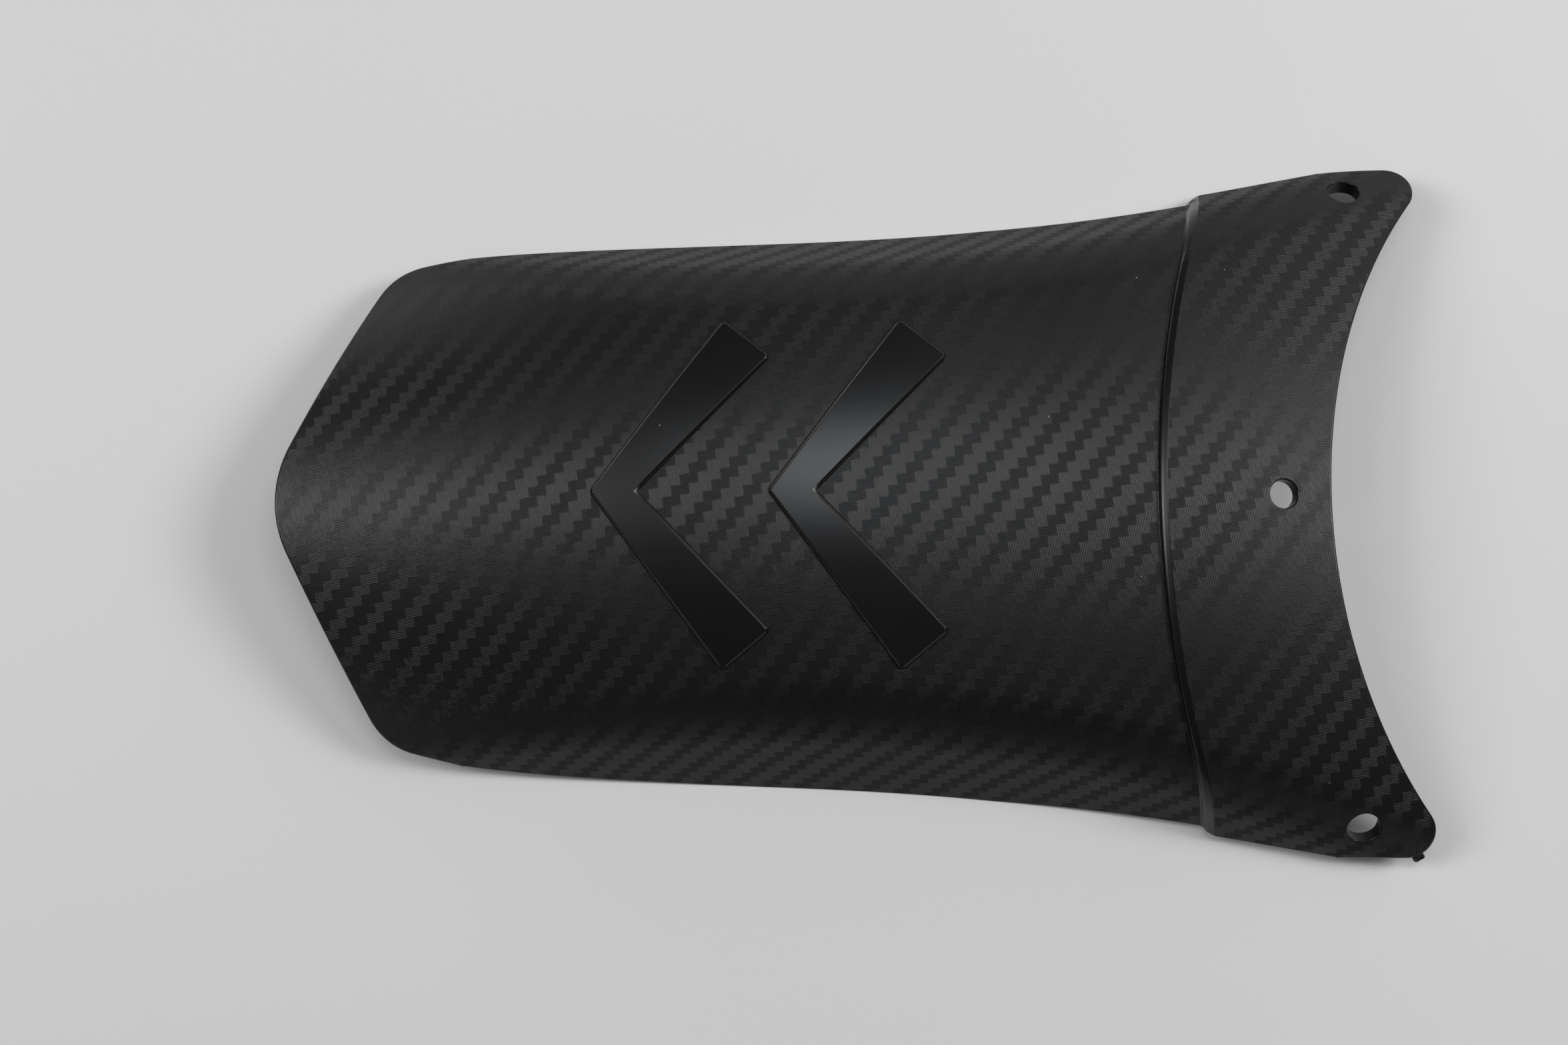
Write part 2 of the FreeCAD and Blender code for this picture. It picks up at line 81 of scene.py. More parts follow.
# chevrons; the outline is the upper half of one
CHEVRON_COUNT = 2
CHEVRON_HEIGHT = 0.9
CHEVRON_X = -54.9
CHEVRON_PITCH = 36.8
CHEVRON_OUTLINE = [(0, 0), (9.8, 0), (37.3, 28.6), (27.4, 36.8)]
CHEVRON_CORNER = 1.2
CHEVRON_FOOT = 0.15
CHEVRON_TOP = 0.5

# raised edges: a steep foot, then a wide bevel, as shares of their run and rise
FOOT_RUN = 0.23
FOOT_RISE = 0.62
EDGE_ROUND = 0.06
EDGE_LINES = (-0.1, 0.0, 0.08, 0.17, 0.29, 0.58, 0.88, 1.0, 1.1)

# holes
CENTRE_HOLE_X = 89.0
CENTRE_HOLE_RADIUS = 3.0
EAR_HOLE_X = 107.3
EAR_HOLE_RADIUS = 3.5
EAR_HOLE_TILT = math.radians(36.0)

# gate stub on one ear
GATE_ANGLE = math.radians(-62.0)
GATE_WIDTH = 2.4
GATE_REACH = 1.2
GATE_ROOT = 2.0
GATE_THICK = 1.6
GATE_DROP = 7.2
GATE_ROUND = 0.25

# softened edges, and the turns at which their rounds have points
RIM_ROUND = 0.45
HOLE_ROUND = 0.35
ROUND_TURNS = np.radians([0, 30, 60, 90])

# spacing of the mesh over the surfaces, and the space that the grid reaches over
GRID = 2.2
INNER_GRID = 2.8
CLEAR_SHARE = 0.45
GRID_END_X = 125.0
GRID_HALF_LENGTH = 110.0
GRID_HALF_WIDTH = 90.0
GRID_SAMPLES = 721

# spacing of points on straight stretches and along the rim
NOSE_GAP = 1.2
SIDE_GAP = 0.5
CHEVRON_GAP = 2.5
RIM_GAP = 1.6
RIM_GAP_AT_STEP = 0.4
STEP_REACH = 2.0
SLOPE_INSET = 0.3

# number of points on round stretches
NOSE_POINTS = 12
SHOULDER_POINTS = 16
EAR_POINTS = 22
CRESCENT_POINTS = 70
HOLE_POINTS = 48
CHEVRON_CORNER_POINTS = 6

# lines along the step: their turn to each side in degrees, and how far they stay off the side edge
STEP_TURN = 26.0
STEP_TURN_GAP = 0.6
STEP_MARGIN = 1.2

# searches and roundings
EDGE_SEARCH = (30.0, 110.0)
EDGE_HALVINGS = 45
HOLE_PASSES = 12
COMPARE_AT_ONCE = 400
PLAN_DIGITS = 4
POINT_DIGITS = 3
MERGE_DISTANCE = 1e-6

# the surfaces that faces belong to
OUTSIDE, INSIDE, RIM = 0, 1, 2


def ramp(t):
    """Raised edge from zero to one: a steep foot, then a bevel, softened where they meet."""
    shifts = (-EDGE_ROUND, 0.0, EDGE_ROUND)
    heights = [np.interp(t + shift, (0.0, FOOT_RUN, 1.0), (0.0, FOOT_RISE, 1.0)) for shift in shifts]
    return sum(heights) / len(shifts)


def crown_radius(x):
    """Radius of the crown, growing evenly from the nose to the flange."""
    share = (x - STATION_X[0]) / (STATION_X[-1] - STATION_X[0])
    return CROWN_RADIUS_NOSE + (CROWN_RADIUS_FLANGE - CROWN_RADIUS_NOSE) * share


# half width of the crown, a smooth curve through all stations
STATION_HALF = crown_radius(STATION_X) * np.sin(CROWN_ANGLE)
crown_half = np.polynomial.Polynomial.fit(STATION_X, STATION_HALF, len(STATION_X) - 1)


def section(x):
    """Crown radius and lean, crown centre height, and bend centre across and up, at x."""
    radius = crown_radius(x)
    lean = np.arcsin(crown_half(x) / radius)
    centre_z = CROWN_HEIGHT - SPINE_RADIUS + np.sqrt(SPINE_RADIUS ** 2 - x ** 2) - radius
    bend_y = (radius - BEND_RADIUS) * np.sin(lean)
    bend_z = centre_z + (radius - BEND_RADIUS) * np.cos(lean)
    return radius, lean, centre_z, bend_y, bend_z


def surface(x, y, offset):
    """Height of the arch surface, moved outward by an offset, over a plan point."""
    radius, lean, centre_z, bend_y, bend_z = section(x)
    across = np.abs(y)
    crown_r = radius + offset
    bend_r = BEND_RADIUS + offset
    knee_y = bend_y + bend_r * math.sin(SKIRT_ANGLE)
    knee_z = bend_z + bend_r * math.cos(SKIRT_ANGLE)
    crown = centre_z + np.sqrt(np.maximum(crown_r ** 2 - across ** 2, 0.0))
    bend = bend_z + np.sqrt(np.maximum(bend_r ** 2 - (across - bend_y) ** 2, 0.0))
    skirt = knee_z - (across - knee_y) * math.tan(SKIRT_ANGLE)
    return np.where(across < crown_r * np.sin(lean), crown, np.where(across < knee_y, bend, skirt))


def arc_length(x, y):
    """Length across the arch from the spine to a plan point, signed like y."""
    radius, lean, centre_z, bend_y, bend_z = section(x)
    across = np.abs(y)
    knee_y = bend_y + BEND_RADIUS * math.sin(SKIRT_ANGLE)
    bend_start = radius * lean
    knee = bend_start + BEND_RADIUS * (SKIRT_ANGLE - lean)
    crown = radius * np.arcsin(np.minimum(across / radius, 1.0))
    turn = np.arcsin(np.clip((across - bend_y) / BEND_RADIUS, -1.0, 1.0))
    bend = bend_start + BEND_RADIUS * (turn - lean)
    skirt = knee + (across - knee_y) / math.cos(SKIRT_ANGLE)
    length = np.where(across < radius * np.sin(lean), crown, np.where(across < knee_y, bend, skirt))
    return np.sign(y) * length


def past_step(x, y):
    """Distance from the step line toward the flange."""
    return STEP_RADIUS - np.hypot(x - STEP_X - STEP_RADIUS, y)


def inside_polygon(polygon, x, y):
    """True for the plan points inside a polygon."""
    inside = np.zeros(np.shape(x), bool)
    px, py = polygon[:, 0], polygon[:, 1]
    qx, qy = np.roll(px, 1), np.roll(py, 1)
    for k in range(len(px)):
        if py[k] != qy[k]:
            crosses = (py[k] > y) != (qy[k] > y)
            inside ^= crosses & (x < (qx[k] - px[k]) * (y - py[k]) / (qy[k] - py[k]) + px[k])
    return inside


def shifted_polygon(points, inward):
    """Polygon with every edge moved inward; the corners go anticlockwise."""
    moved = []
    count = len(points)
    for k in range(count):
        before, here, after = (np.array(points[(k + n) % count], float) for n in (-1, 0, 1))
        e1 = (here - before) / np.linalg.norm(here - before)
        e2 = (after - here) / np.linalg.norm(after - here)
        n1 = np.array([-e1[1], e1[0]])
        n2 = np.array([-e2[1], e2[0]])
        moved.append(here + inward * (n1 + n2) / (1.0 + n1 @ n2))
    return np.array(moved)


def chevron_core(shift):
    """Outline of a chevron, moved inward by its corner radius."""
    upper = CHEVRON_OUTLINE
    corners = [upper[0]] + [(x, -y) for x, y in upper[:1:-1]] + [upper[1]] + upper[2:]
    return shifted_polygon([(x + shift, y) for x, y in corners], CHEVRON_CORNER)


CORES = [chevron_core(CHEVRON_X + n * CHEVRON_PITCH) for n in range(CHEVRON_COUNT)]


def outside_distance(core, x, y):
    """Distance of plan points outside a polygon, zero inside it."""
    near = np.full(np.shape(x), np.inf)
    for k in range(len(core)):
        (ax, ay), (bx, by) = core[k - 1], core[k]
        ex, ey = bx - ax, by - ay
        share = np.clip(((x - ax) * ex + (y - ay) * ey) / (ex * ex + ey * ey), 0.0, 1.0)
        near = np.minimum(near, np.hypot(x - ax - share * ex, y - ay - share * ey))
    return np.where(inside_polygon(core, x, y), 0.0, near)


def chevron_share(x, y):
    """Zero beside the chevrons, one on top of them."""
    share = np.zeros(np.shape(x))
    for core in CORES:
        gap = outside_distance(core, x, y) - CHEVRON_CORNER
        share = np.maximum(share, ramp((CHEVRON_FOOT - gap) / (CHEVRON_FOOT + CHEVRON_TOP)))
    return share


def arch(x, y):
    """Height of the bare arch, without its step and chevrons."""
    return surface(x, y, 0.0)


def outer(x, y):
    """Height of the outside, with the step and the chevrons."""
    step = STEP_HEIGHT * ramp(past_step(x, y) / STEP_RUN + 0.5)
    return surface(x, y, step + CHEVRON_HEIGHT * chevron_share(x, y))


def inner(x, y):
    """Height of the inside, with the joggle under the step."""
    step = STEP_HEIGHT * ramp((past_step(x, y) - JOGGLE) / STEP_RUN + 0.5)
    return surface(x, y, step - WALL)


def gradient(height, x, y, gap=0.01):
    """Slopes of a surface along x and y."""
    return ((height(x + gap, y) - height(x - gap, y)) / (2 * gap),
            (height(x, y + gap) - height(x, y - gap)) / (2 * gap))


def lower_edge(x):
    """Height of the side edge the part rests on."""
    nose = NOSE_RISE_RADIUS - np.sqrt(NOSE_RISE_RADIUS ** 2 - np.minimum(x - FLAT_FROM, 0.0) ** 2)
    return nose + np.maximum(x - FLAT_TO, 0.0) * math.tan(FLANGE_RISE_ANGLE)


def edge_half(height, x):
    """Half width at which a surface comes down to the side edge."""
    low, high = (np.full(np.shape(x), limit) for limit in EDGE_SEARCH)
    for _ in range(EDGE_HALVINGS):
        middle = (low + high) / 2
        above = height(x, middle) > lower_edge(x)
        low = np.where(above, middle, low)
        high = np.where(above, high, middle)
    return low


def ear_hole_centre():
    """Place across and up where the axis of an ear hole meets the outside, on the +Y side."""
    radius, lean, centre_z, bend_y, bend_z = section(EAR_HOLE_X)
    reach = BEND_RADIUS + STEP_HEIGHT
    y = bend_y + reach * math.sin(EAR_HOLE_TILT)
    z = bend_z + reach * math.cos(EAR_HOLE_TILT)
    return float(y), float(z)


EAR_HOLE_Y, EAR_HOLE_Z = ear_hole_centre()
EAR_HALF = EAR_HOLE_Y + EAR_MARGIN


def ear_centre():
    """Middle of the arc that rounds an ear, on the +Y side."""
    ear_y = EAR_HALF - EAR_RADIUS
    back = math.sqrt((CRESCENT_RADIUS + EAR_RADIUS) ** 2 - ear_y ** 2)
    return CRESCENT_X + CRESCENT_RADIUS - back, ear_y


def run(start, end, gap):
    """Points from start toward end, the last one left out."""
    count = max(1, int(math.ceil(math.dist(start, end) / gap)))
    return [(start[0] + (end[0] - start[0]) * k / count, start[1] + (end[1] - start[1]) * k / count)
            for k in range(count)]


def bow(centre, radius, start, end, count):
    """Points on an arc, the last one left out."""
    turns = [start + (end - start) * k / count for k in range(count)]
    return [(centre[0] + radius * math.cos(t), centre[1] + radius * math.sin(t)) for t in turns]


def plan_outline():
    """Outline from above on the +Y side, from the nose tip round the ear to the middle of the crescent."""
    half_turn = math.pi
    tip_c = (NOSE_X + NOSE_RADIUS, 0.0)
    tip = (tip_c[0] - NOSE_RADIUS * math.cos(NOSE_ANGLE), NOSE_RADIUS * math.sin(NOSE_ANGLE))
    shoulder_y = SHOULDER_HALF - SHOULDER_RADIUS * math.cos(SHOULDER_ANGLE)
    nose_end_y = shoulder_y + SHOULDER_RADIUS * math.sin(NOSE_ANGLE)
    nose_end = (tip[0] + (nose_end_y - tip[1]) * math.tan(NOSE_ANGLE), nose_end_y)
    shoulder_c = (nose_end[0] + SHOULDER_RADIUS * math.cos(NOSE_ANGLE), shoulder_y)
    side = (shoulder_c[0] - SHOULDER_RADIUS * math.sin(SHOULDER_ANGLE), SHOULDER_HALF)
    side_end = (side[0] + (EAR_HALF - side[1]) / math.tan(SHOULDER_ANGLE), EAR_HALF)
    crescent_c = (CRESCENT_X + CRESCENT_RADIUS, 0.0)
    ear_x, ear_y = ear_centre()
    turn = math.atan2(ear_y, crescent_c[0] - ear_x)
    path = bow(tip_c, NOSE_RADIUS, half_turn, half_turn - NOSE_ANGLE, NOSE_POINTS)
    path += run(tip, nose_end, NOSE_GAP)
    path += bow(shoulder_c, SHOULDER_RADIUS, half_turn - NOSE_ANGLE, half_turn / 2 + SHOULDER_ANGLE,
                SHOULDER_POINTS)
    path += run(side, side_end, SIDE_GAP)
    path += run(side_end, (ear_x, EAR_HALF), SIDE_GAP)
    path += bow((ear_x, ear_y), EAR_RADIUS, half_turn / 2, -turn, EAR_POINTS)
    path += bow(crescent_c, CRESCENT_RADIUS, half_turn - turn, half_turn, CRESCENT_POINTS)
    path.append((CRESCENT_X, 0.0))
    return np.array(path)


def rim_outline():
    """Plan points round the whole rim, and which of them lie on the edge the part rests on."""
    upper = plan_outline()
    x = upper[:, 0]
    outer_edge = edge_half(outer, x)
    resting = upper[:, 1] > outer_edge
    y = np.where(resting, outer_edge, upper[:, 1])
    # thin out the long side edge, keeping it fine where the step crosses it
    keep = [0]
    for k in range(1, len(x)):
        gap = RIM_GAP_AT_STEP if abs(past_step(x[k], y[k])) < STEP_REACH else RIM_GAP
        turns = resting[k] != resting[k - 1] or not resting[k]
        if turns or math.dist((x[k], y[k]), (x[keep[-1]], y[keep[-1]])) >= gap or k == len(x) - 1:
            keep.append(k)
    x, y, resting = x[keep], y[keep], resting[keep]
    mirror = slice(-2, 0, -1)
    x = np.concatenate([x, x[mirror]])
    y = np.concatenate([y, -y[mirror]])
    return x, y, np.concatenate([resting, resting[mirror]])


def rim_rings():
    """Rings of points round the rim: rounded outer edge, wall, and where it meets the inside."""
    x, y, resting = rim_outline()
    along = np.stack([np.roll(x, -1) - np.roll(x, 1), np.roll(y, -1) - np.roll(y, 1)], 1)
    along /= np.linalg.norm(along, axis=1)[:, None]
    out = np.stack([-along[:, 1], along[:, 0]], 1)
    zx, zy = gradient(outer, x - SLOPE_INSET * out[:, 0], y - SLOPE_INSET * out[:, 1])
    edge = np.stack([x, y, outer(x, y)], 1)
    back = np.stack([-out[:, 0], -out[:, 1], -(zx * out[:, 0] + zy * out[:, 1])], 1)
    back *= RIM_ROUND / np.linalg.norm(back, axis=1)[:, None]
    inward = np.stack([-out[:, 0], -out[:, 1], 0 * x], 1)
    down = np.where(resting[:, None], inward, [[0.0, 0.0, -1.0]]) * RIM_ROUND
    rings = []
    for turn in ROUND_TURNS:
        rings.append(edge + back * (1 - math.sin(turn)) + down * (1 - math.cos(turn)))
    rings[0][:, 2] = outer(rings[0][:, 0], rings[0][:, 1])

    inner_y = np.sign(y) * np.minimum(np.abs(y), edge_half(inner, x))
    floor = lower_edge(x)
    wall_z = np.where(resting, edge[:, 2], np.maximum(inner(x, y), floor))
    corner = np.where(resting[:, None], rings[-1], np.stack([x, y, wall_z], 1))
    last = np.stack([x, inner_y, np.maximum(inner(x, inner_y), floor)], 1)
    return rings + [corner, last]


def hole_rings(x, y, z, normal, radius):
    """Rings round a hole: softened mouth, wall, and where it meets the inside."""
    normal = Vector(normal).normalized()
    side = Vector((0, 1, 0)).cross(normal).normalized()
    other = normal.cross(side)
    turns = np.arange(HOLE_POINTS) * 2 * math.pi / HOLE_POINTS

    def ring(height, reach, sink):
        ray = np.outer(np.cos(turns), side) * reach + np.outer(np.sin(turns), other) * reach + (x, y, z)
        depth = np.zeros(HOLE_POINTS)
        for _ in range(HOLE_PASSES):
            spot = ray + np.outer(depth, normal)
            depth += (height(spot[:, 0], spot[:, 1]) - spot[:, 2]) * normal.z
        return ray + np.outer(depth - sink, normal)

    rings = []
    for turn in ROUND_TURNS:
        reach = radius + HOLE_ROUND * (1 - math.sin(turn))
        rings.append(ring(outer, reach, HOLE_ROUND * (1 - math.cos(turn))))
    return rings + [ring(inner, radius, 0.0)]


def shell_holes():
    """Rings of the three screw holes."""
    lean = math.asin(CENTRE_HOLE_X / SPINE_RADIUS)
    centre_z = float(outer(np.array([CENTRE_HOLE_X]), np.array([0.0]))[0])
    centre_normal = (math.sin(lean), 0, math.cos(lean))
    holes = [hole_rings(CENTRE_HOLE_X, 0.0, centre_z, centre_normal, CENTRE_HOLE_RADIUS)]
    for side in (1, -1):
        normal = (0, side * math.sin(EAR_HOLE_TILT), math.cos(EAR_HOLE_TILT))
        holes.append(hole_rings(EAR_HOLE_X, side * EAR_HOLE_Y, EAR_HOLE_Z, normal, EAR_HOLE_RADIUS))
    return holes


def rounded_loop(core, reach):
    """Line at an even distance outside a polygon, its corners rounded."""
    shifted = shifted_polygon(core, -reach)
    count = len(core)
    points = []
    for k in range(count):
        before, here, after = core[k - 1], core[k], core[(k + 1) % count]
        e1 = here - before
        e2 = after - here
        start = math.atan2(e1[1], e1[0]) - math.pi / 2
        bend = math.atan2(e1[0] * e2[1] - e1[1] * e2[0], e1 @ e2)
        if bend > 0:
            for n in range(CHEVRON_CORNER_POINTS + 1):
                turn = start + bend * n / CHEVRON_CORNER_POINTS
                points.append((here[0] + reach * math.cos(turn), here[1] + reach * math.sin(turn)))
        else:
            points.append(tuple(shifted[k]))
    loop = []
    for k in range(len(points)):
        loop += run(points[k], points[(k + 1) % len(points)], CHEVRON_GAP)
    return np.array(loop)


def chevron_lines():
    """Closed lines along the edges of the chevrons."""
    lines = []
    for core in CORES:
        for share in EDGE_LINES:
            reach = CHEVRON_CORNER + CHEVRON_FOOT - share * (CHEVRON_FOOT + CHEVRON_TOP)
            lines.append((rounded_loop(core, reach), True))
    return lines


def step_lines(height, shift):
    """Open lines along the step or its joggle, inside the side edges."""
    lines = []
    turns = np.radians(np.arange(-STEP_TURN, STEP_TURN, STEP_TURN_GAP))
    for share in EDGE_LINES:
        radius = STEP_RADIUS - shift - (share - 0.5) * STEP_RUN
        x = STEP_X + STEP_RADIUS - radius * np.cos(turns)
        y = radius * np.sin(turns)
        keep = np.abs(y) < edge_half(height, x) - STEP_MARGIN
        lines.append((np.stack([x[keep], y[keep]], 1), False))
    return lines


def filling(spacing, outline, avoid):
    """Even points over the arch inside an outline, clear of the points to avoid."""
    spread = np.linspace(-GRID_HALF_WIDTH, GRID_HALF_WIDTH, GRID_SAMPLES)
    rows = []
    for n, x in enumerate(np.arange(NOSE_X, GRID_END_X, spacing)):
        lengths = np.arange(-GRID_HALF_LENGTH, GRID_HALF_LENGTH, spacing) + (n % 2) * spacing / 2
        y = np.interp(lengths, arc_length(np.full(GRID_SAMPLES, x), spread), spread)
        rows.append(np.stack([np.full(len(lengths), x), y], 1))
    points = np.concatenate(rows)
    points = points[inside_polygon(outline, points[:, 0], points[:, 1])]
    keep = np.ones(len(points), bool)
    for start in range(0, len(avoid), COMPARE_AT_ONCE):
        apart = points[:, None] - avoid[None, start:start + COMPARE_AT_ONCE]
        keep &= np.min(np.hypot(apart[..., 0], apart[..., 1]), 1) > spacing * CLEAR_SHARE
    return points[keep]


def plan_key(p):
    """Plan point rounded, to find it again."""
    return round(float(p[0]), PLAN_DIGITS), round(float(p[1]), PLAN_DIGITS)


def without_slivers(plan, faces, loops):
    """Faces without the slivers that lie along a loop from outside and double one of its sides."""
    names = [plan_key(p) for p in plan]
    loop_sides = set()
    for loop in loops:
        keys = [plan_key(p) for p in loop]
        loop_sides |= {frozenset(pair) for pair in zip(keys, keys[1:] + keys[:1])}
    sides = [[frozenset((names[f[k - 1]], names[f[k]])) for k in range(3)] for f in faces]
    uses = Counter(side for three in sides for side in three)
    doubled = [any(uses[side] == 2 and side in loop_sides for side in three) for three in sides]
    alone = [any(uses[side] == 1 and side not in loop_sides for side in three) for three in sides]
    return faces[~(np.array(doubled) & np.array(alone))]


def triangulate(loops, lines, points):
    """Triangles over the plan between the first loop and the others, and the plan points they use."""
    coords = []
    edges = []
    for line, closed in [(loop, True) for loop in loops] + lines:
        first = len(coords)
        coords += [tuple(p[:2]) for p in line]
        edges += [(first + k, first + k + 1) for k in range(len(line) - 1)]
        if closed:
            edges.append((len(coords) - 1, first))
    coords += [tuple(p) for p in points]
    found = delaunay_2d_cdt([Vector(c) for c in coords], edges, [], 0, MERGE_DISTANCE)
    plan = np.array([tuple(v) for v in found[0]])
    faces = np.array(found[2])
    middle = plan[faces].mean(axis=1)
    keep = inside_polygon(loops[0], middle[:, 0], middle[:, 1])
    for loop in loops[1:]:
        keep &= ~inside_polygon(loop, middle[:, 0], middle[:, 1])
    faces = faces[keep]
    a, b, c = plan[faces[:, 0]], plan[faces[:, 1]], plan[faces[:, 2]]
    turned = (b[:, 0] - a[:, 0]) * (c[:, 1] - a[:, 1]) < (b[:, 1] - a[:, 1]) * (c[:, 0] - a[:, 0])
    faces[turned] = faces[turned][:, ::-1]
    return plan, without_slivers(plan, faces, loops)


class Build:
    """Points and faces of the shell; faces remember which surface they belong to."""

    def __init__(self):
        self.points = []
        self.index = {}
        self.faces = []
        self.kinds = []

    def point(self, p):
        """Number of a point, which is added if it is new."""
        key = tuple(round(float(v), POINT_DIGITS) for v in p)
        if key not in self.index:
            self.index[key] = len(self.points)
            self.points.append(tuple(float(v) for v in p))
        return self.index[key]

    def face(self, corners, kind):
        """One face, left out if its corners fall together."""
        loop = []
        for corner in (self.point(p) for p in corners):
            if corner not in loop:
                loop.append(corner)
        if len(loop) > 2:
            self.faces.append(loop)
            self.kinds.append(kind)

    def strip(self, rings, kind):
        """Closed bands between rings of equally many points."""
        for upper, lower in zip(rings, rings[1:]):
            for k in range(len(upper)):
                n = (k + 1) % len(upper)
                self.face([upper[k], upper[n], lower[n], lower[k]], kind)

    def cover(self, kind, height, spacing, loops, lines):
        """Triangles of one surface, between its rim and its holes and along the lines given."""
        avoid = np.concatenate([loop[:, :2] for loop in loops] + [line for line, closed in lines])
        plan, faces = triangulate(loops, lines, filling(spacing, loops[0][:, :2], avoid))
        known = {plan_key(p): p for loop in loops for p in loop}
        z = height(plan[:, 0], plan[:, 1])
        full = [known.get(plan_key(p), (p[0], p[1], h)) for p, h in zip(plan, z)]
        for a, b, c in faces:
            corners = [full[a], full[b], full[c]]
            self.face(corners if kind == OUTSIDE else corners[::-1], kind)


def gate_rings():
    """Rings along the gate stub on one ear, from inside the wall to its cut end."""
    ear_x, ear_y = ear_centre()
    low = EAR_HOLE_Z - GATE_DROP
    cos, sin = math.cos(GATE_ANGLE), math.sin(GATE_ANGLE)
    # each corner is cut off by two points: its side, its top or bottom, and which of the two points it is
    corners = [(1, 1, 0), (1, 1, 1), (-1, 1, 1), (-1, 1, 0),
               (-1, -1, 0), (-1, -1, 1), (1, -1, 1), (1, -1, 0)]
    rings = []
    for reach, shrink in ((-GATE_ROOT, 0.0), (GATE_REACH - GATE_ROUND, 0.0), (GATE_REACH, GATE_ROUND)):
        ring = []
        for side, top, turned in corners:
            half = GATE_WIDTH / 2 - shrink - GATE_ROUND * (turned == (side == top))
            rise = GATE_THICK / 2 - shrink - GATE_ROUND * (turned != (side == top))
            along = EAR_RADIUS + reach
            x = ear_x + along * cos - side * half * sin
            y = -ear_y + along * sin + side * half * cos
            ring.append((x, y, low + GATE_THICK / 2 + top * rise))
        rings.append(ring)
    return rings


def shell_build():
    """The whole shell: outside, inside, rim, walls of the holes, and the gate stub."""
    build = Build()
    rim = rim_rings()
    holes = shell_holes()
    outer_loops = [rim[0]] + [hole[0] for hole in holes]
    inner_loops = [rim[-1]] + [hole[-1] for hole in holes]
    build.cover(OUTSIDE, outer, GRID, outer_loops, chevron_lines() + step_lines(outer, 0.0))
    build.cover(INSIDE, inner, INNER_GRID, inner_loops, step_lines(inner, JOGGLE))
    build.strip(rim, RIM)
    for hole in holes:
        build.strip(hole, RIM)
    gate = gate_rings()
    build.strip(gate, RIM)
    build.face(gate[0][::-1], RIM)
    build.face(gate[-1], RIM)
    return build


def shade_smooth(mesh, points, kinds, corner_face, corner_point):
    """Corner normals from the surfaces themselves, and from the rim's own faces at the rim."""
    x, y = points[:, 0], points[:, 1]
    corner_kind = kinds[corner_face]
    normals = {}
    for kind, height, sign in ((OUTSIDE, outer, 1.0), (INSIDE, inner, -1.0)):
        zx, zy = gradient(height, x, y)
        normals[kind] = sign * np.stack([-zx, -zy, np.ones(len(x))], 1)
    rim = np.zeros((len(points), 3))
    face_normals = np.array([p.normal[:] for p in mesh.polygons])
    face_areas = np.array([p.area for p in mesh.polygons])
    on_rim = corner_kind == RIM
    np.add.at(rim, corner_point[on_rim], (face_normals * face_areas[:, None])[corner_face[on_rim]])
    on_top = np.zeros(len(points), bool)
    on_top[corner_point[corner_kind == OUTSIDE]] = True
    rim[on_top] = normals[OUTSIDE][on_top]
    normals[RIM] = rim
    chosen = np.zeros((len(corner_point), 3))
    for kind, values in normals.items():
        chosen[corner_kind == kind] = values[corner_point[corner_kind == kind]]
    chosen /= np.linalg.norm(chosen, axis=1)[:, None]
    for polygon in mesh.polygons:
        polygon.use_smooth = True
    mesh.normals_split_custom_set(chosen.tolist())


def add_corner_values(mesh, name, values):
    """Named value at each face corner, for the material."""
    layer = mesh.attributes.new(name, "FLOAT", "CORNER")
    layer.data.foreach_set("value", values.astype(np.float32))


def shell_mesh():
    """Mesh of the shell, with its shading and what its material reads."""
    build = shell_build()
    points = np.array(build.points)
    kinds = np.array(build.kinds)
    mesh = bpy.data.meshes.new("fender_shell")
    mesh.from_pydata((points * MM).tolist(), [], build.faces)
    corner_face = np.repeat(np.arange(len(build.faces)), [len(f) for f in build.faces])
    corner_point = np.concatenate(build.faces)
    shade_smooth(mesh, points, kinds, corner_face, corner_point)

    # weave coordinates: along the part and across the arch, in metres
    x, y = points[:, 0], points[:, 1]
    uv = mesh.uv_layers.new(name="weave")
    flat = np.stack([x, arc_length(x, y)], 1) * MM
    uv.data.foreach_set("uv", flat[corner_point].astype(np.float32).ravel())
    # the weave is on the outside only, and leaves out the chevrons and the wall of the step
    middle = np.array([points[face].mean(axis=0) for face in build.faces])
    on_step = np.abs(past_step(middle[:, 0], middle[:, 1])) < STEP_RUN * (0.5 + EDGE_ROUND)
    plain = on_step | (chevron_share(middle[:, 0], middle[:, 1]) > 0)
    amount = np.where((kinds == OUTSIDE) & ~plain, 1.0, 0.0)
    add_corner_values(mesh, "woven", amount[corner_face])
    # lean of the arch in degrees, from level on the spine to steep on the skirts
    zx, zy = gradient(arch, x, y)
    lean = np.degrees(np.arctan(np.hypot(zx, zy)))
    add_corner_values(mesh, "steep", lean[corner_point])
    return mesh


shell = bpy.data.objects.new("fender_shell", shell_mesh())
bpy.context.collection.objects.link(shell)
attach(shell, "root")
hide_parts("fender_extension")


# weave: width of a tow, turn of the cloth, and half the length that a tow shows, counted in tows
TOW = 2.1
WEAVE_TURN = math.radians(8.0)
FLOAT_HALF = 0.87
FLOAT_SOFT = 0.03
TWILL_REPEAT = 4.0
RIDGES_PER_TOW = 6.0
RIDGE_POWER = 3.0

# heights of the relief in millimetres, and shares that make it uneven
RIDGE_HEIGHT = 0.033
LEAN_HEIGHT = 0.088
MOULD_HEIGHT = 0.004
UNEVEN_SHARE = (0.7, 1.1)

# lean of the arch, in degrees, over which its sides turn steep
STEEP_LEAN = (32.0, 56.0)

# roughness of the plain areas, the weave and the steep sides, and its soft differences
PLAIN_ROUGHNESS = 0.27
WEAVE_ROUGHNESS = 0.36
STEEP_ROUGHNESS = 0.50
CLOUD_ROUGHNESS = 0.02
SPECULAR_LEVEL = 0.25

